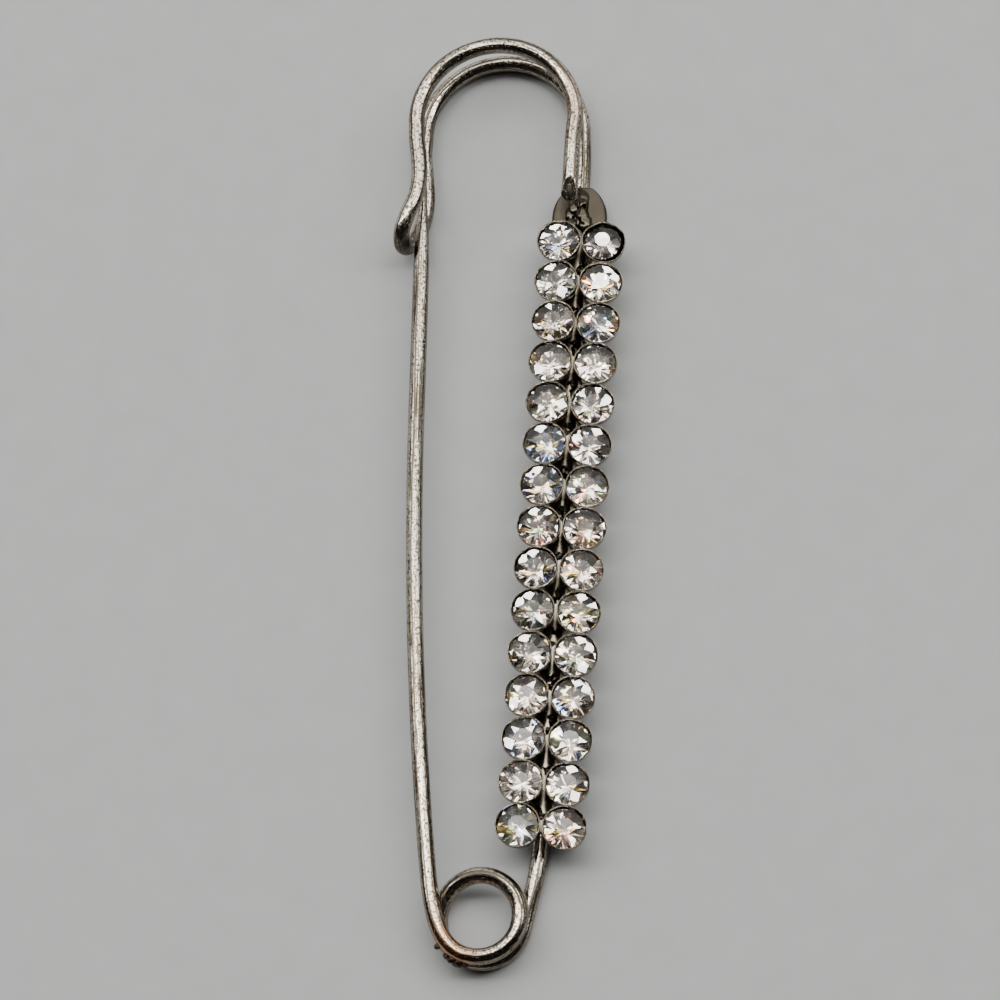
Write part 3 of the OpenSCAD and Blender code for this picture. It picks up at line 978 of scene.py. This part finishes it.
def stone_shape():
    """A round brilliant's corner points and facets, crown facets first, then the pavilion's."""
    girdle, table = STONE_D / 2, TABLE_D / 2
    half = math.pi / FACETS
    star = STAR_SHARE * girdle
    lower = LOWER_SHARE * girdle
    star_z = GIRDLE_T + CROWN_H - CROWN_H / (girdle - table) * (star * math.cos(half) - table)
    lower_z = -PAVILION_H + PAVILION_H * lower * math.cos(half) / girdle

    def rim(r, k, z):
        a = k * half
        return (r * math.cos(a), r * math.sin(a), z)

    n = FACETS
    points = [rim(table, 2 * k + 1, GIRDLE_T + CROWN_H) for k in range(n)]
    points += [rim(star, 2 * k, star_z) for k in range(n)]
    points += [rim(girdle, k, GIRDLE_T) for k in range(2 * n)]
    points += [rim(girdle, k, 0) for k in range(2 * n)]
    points += [rim(lower, 2 * k, lower_z) for k in range(n)]
    points.append((0, 0, -PAVILION_H))
    star0, upper0, under0, lower0, tip = n, 2 * n, 4 * n, 6 * n, 7 * n
    crown = [tuple(range(n))]
    back = []
    for k in range(n):
        before, after = (k - 1) % n, (k + 1) % n
        crown.append((k, before, star0 + k))
        crown.append((k, star0 + k, upper0 + 2 * k + 1, star0 + after))
        crown.append((star0 + k, upper0 + 2 * k, upper0 + 2 * k + 1))
        crown.append((star0 + k, upper0 + (2 * k - 1) % (2 * n), upper0 + 2 * k))
        back.append((under0 + 2 * k, lower0 + k, under0 + 2 * k + 1))
        back.append((under0 + 2 * k, under0 + (2 * k - 1) % (2 * n), lower0 + k))
        back.append((under0 + 2 * k + 1, lower0 + k, tip, lower0 + after))
    for k in range(2 * n):
        j = (k + 1) % (2 * n)
        crown.append((upper0 + k, under0 + k, under0 + j, upper0 + j))
    return points, crown, back


STONE_POINTS, CROWN_FACETS, BACK_FACETS = stone_shape()


def uneven_point(i, p):
    """Hand-cut stones: the inner corners of the facets are a little off their places."""
    table_or_star = i < 2 * FACETS
    lower = 6 * FACETS <= i < 7 * FACETS
    off = CROWN_OFF if table_or_star else LOWER_OFF if lower else 0.0
    lift = LOWER_LIFT if lower else 0.0
    return (p[0] + rng.uniform(-off, off), p[1] + rng.uniform(-off, off), p[2] + rng.uniform(-lift, lift))


def stone_piece(col, row):
    """One stone in its cup, turned and tilted a little, with its own foil."""
    side = ("left", "right")[col]
    loose = col == 1 and row == ROWS - 1
    spin = rng.uniform(0, 360 / FACETS)
    tilt = LOOSE_TILT if loose else rng.uniform(0, MOST_TILT)
    look = LOOSE_LOOK if loose else rng.uniform(0, 360)
    slide = LOOSE_SLIDE if loose else (0.0, 0.0)
    m = at_cup(col, row) @ Matrix.Translation((*slide, CUP_H - GIRDLE_T - STONE_LIFT))
    m = m @ Matrix.Rotation(math.radians(look), 4, "Z") @ Matrix.Rotation(math.radians(tilt), 4, "Y")
    m = m @ Matrix.Rotation(math.radians(spin - look), 4, "Z")
    name = f"stone_{side}_{row + 1:02d}"
    faces = CROWN_FACETS + BACK_FACETS
    size = LOOSE_SIZE if loose else 1.0
    foil = LOOSE_FOIL if loose else 1.0
    points = [Vector(uneven_point(i, p)) * size for i, p in enumerate(STONE_POINTS)]
    obj = mesh_object("jewel_" + name, placed(m, points), faces, [GLASS, FOIL], shade=False)
    indices = [0] * len(CROWN_FACETS) + [1] * len(BACK_FACETS)
    obj.data.polygons.foreach_set("material_index", indices)
    painted_facet_light = obj.data.color_attributes.new("painted_facet_light", "FLOAT_COLOR", "CORNER")
    # Painted reflections: each facet's foil gets its own brightness, and a few get a painted fire tint
    for polygon in obj.data.polygons:
        tint = rng.choice(PAINTED_FIRE) if rng.random() < PAINTED_FIRE_SHARE else CLEAR
        share = foil * rng.choice(PAINTED_FACET_SHARES)
        for i in polygon.loop_indices:
            grey = share * rng.choice(PAINTED_FACET_GREYS)
            painted_facet_light.data[i].color = (*(grey * part for part in tint), 1)
    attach(obj, "frame")
    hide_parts(name)
    return obj


stones = [stone_piece(col, row) for col in (0, 1) for row in range(ROWS)]


# Floor, light and camera

FLOOR_HALF = 0.9
floor_mesh = bpy.data.meshes.new("floor")
corners = [(x * FLOOR_HALF, y * FLOOR_HALF, 0) for x, y in ((-1, -1), (1, -1), (1, 1), (-1, 1))]
floor_mesh.from_pydata(corners, [], [(0, 1, 2, 3)])
floor_mesh.materials.append(floor_material())
floor = bpy.data.objects.new("floor", floor_mesh)
bpy.context.scene.collection.objects.link(floor)


def area_light(name, at, size, watts, colour=(1, 1, 1), aim=(0, 0, 0)):
    data = bpy.data.lights.new(name, "AREA")
    data.shape = "RECTANGLE"
    data.size, data.size_y = size
    data.energy = watts
    data.color = colour
    light = bpy.data.objects.new(name, data)
    bpy.context.scene.collection.objects.link(light)
    light.location = at
    light.rotation_mode = "QUATERNION"
    light.rotation_quaternion = (Vector(aim) - Vector(at)).to_track_quat("-Z", "Y")
    return light


# One long lamp across the brooch, a little behind it, in a dim room that is lighter at the back
LAMP_HEIGHT = 0.6
LAMP_LONG = 2.0
LAMP_WIDE = 0.31
LAMP_X = 0.1
LAMP_Y = 0.12
LAMP_WATTS = 1.3
TUBE_WIDE = 0.1
TUBE_DROP = 0.002
TUBE_WATTS = 4.5
BACK_Y = 0.38
BACK_HEIGHT = 0.64
BACK_WIDE = 0.44
BACK_WATTS = 6.7
LAMP_COLOUR = (1.0, 0.985, 0.955)
lamp_at = (LAMP_X, LAMP_Y, LAMP_HEIGHT)
area_light("long_lamp", lamp_at, (LAMP_LONG, LAMP_WIDE), LAMP_WATTS, LAMP_COLOUR, (LAMP_X, LAMP_Y, 0))
# The lamp's bright tube, just below its face
tube_at = (LAMP_X, LAMP_Y, LAMP_HEIGHT - TUBE_DROP)
area_light("bright_tube", tube_at, (LAMP_LONG, TUBE_WIDE), TUBE_WATTS, LAMP_COLOUR, (LAMP_X, LAMP_Y, 0))
# A second lamp further back, for the soft shadows in front of the wires
back_at = (LAMP_X, BACK_Y, BACK_HEIGHT)
area_light("back_lamp", back_at, (LAMP_LONG, BACK_WIDE), BACK_WATTS, LAMP_COLOUR, (LAMP_X, 0, 0))

# Small lamps all round that light the stones alone, so that their facets sparkle
SPARKLE_REACH = 0.6
SPARKLE_SIZE = 0.13
SPARKLE_WATTS = 3.3
SPARKLE_COLOUR = (1.0, 0.96, 0.9)
# Height above the floor in degrees, lamps in the ring, direction of the first
SPARKLE_RINGS = [
    (11, 11, 270),
    (36, 6, 12),
    (60, 3, 200),
]
sparkle_group = bpy.data.collections.new("sparkle")
for stone in stones:
    sparkle_group.objects.link(stone)


def sparkle_lamps():
    for height, count, first in SPARKLE_RINGS:
        up = math.radians(height)
        flat = SPARKLE_REACH * math.cos(up)
        for i in range(count):
            around = math.radians(first + 360 / count * i)
            at = (flat * math.cos(around), flat * math.sin(around), SPARKLE_REACH * math.sin(up))
            size = (SPARKLE_SIZE, SPARKLE_SIZE)
            lamp = area_light(f"sparkle_{height}_{i}", at, size, SPARKLE_WATTS, SPARKLE_COLOUR)
            lamp.light_linking.receiver_collection = sparkle_group


sparkle_lamps()
# A broad dim lamp on the viewer's side, for the stones alone too
FILL_AT = (0.0, -0.35, 0.6)
FILL_SIZE = (1.0, 0.6)
FILL_WATTS = 0.4
fill_lamp = area_light("stone_fill", FILL_AT, FILL_SIZE, FILL_WATTS)
fill_lamp.light_linking.receiver_collection = sparkle_group


# The room's light at the viewer's side and at the back, and the span of directions it rises over
ROOM_DIM = 0.025
ROOM_BRIGHT = 0.8
ROOM_SPAN = (0.05, 0.5)


def room_light():
    """The room: dim at the viewer's side, brighter towards the back."""
    world = bpy.data.worlds.new("studio")
    bpy.context.scene.world = world
    world.use_nodes = True
    tree = world.node_tree
    direction = tree.nodes.new("ShaderNodeTexCoord").outputs["Generated"]
    parts = tree.nodes.new("ShaderNodeSeparateXYZ")
    tree.links.new(direction, parts.inputs[0])
    share = tree.nodes.new("ShaderNodeMapRange")
    # A Map Range node's inputs 1 to 4 are the span it reads and the span it gives
    for socket, value in zip((1, 2, 3, 4), (*ROOM_SPAN, ROOM_DIM, ROOM_BRIGHT)):
        share.inputs[socket].default_value = value
    tree.links.new(parts.outputs["Y"], share.inputs["Value"])
    background = tree.nodes["Background"]
    background.inputs["Color"].default_value = (1.0, 1.0, 1.0, 1)
    tree.links.new(share.outputs[0], background.inputs["Strength"])


room_light()

SENSOR_WIDTH = 36.0
CLIP_START = 0.01
CLIP_END = 5.0
camera_data = bpy.data.cameras.new("camera")
camera_data.sensor_width = SENSOR_WIDTH
camera_data.lens = LENS
camera_data.clip_start = CLIP_START
camera_data.clip_end = CLIP_END
camera = bpy.data.objects.new("camera", camera_data)
bpy.context.scene.collection.objects.link(camera)
columns = Matrix((CAMERA_RIGHT, CAMERA_UP, CAMERA_BACK)).transposed()
camera.matrix_world = Matrix.Translation(Vector(CAMERA_AT * MM)) @ columns.to_4x4()
bpy.context.scene.camera = camera
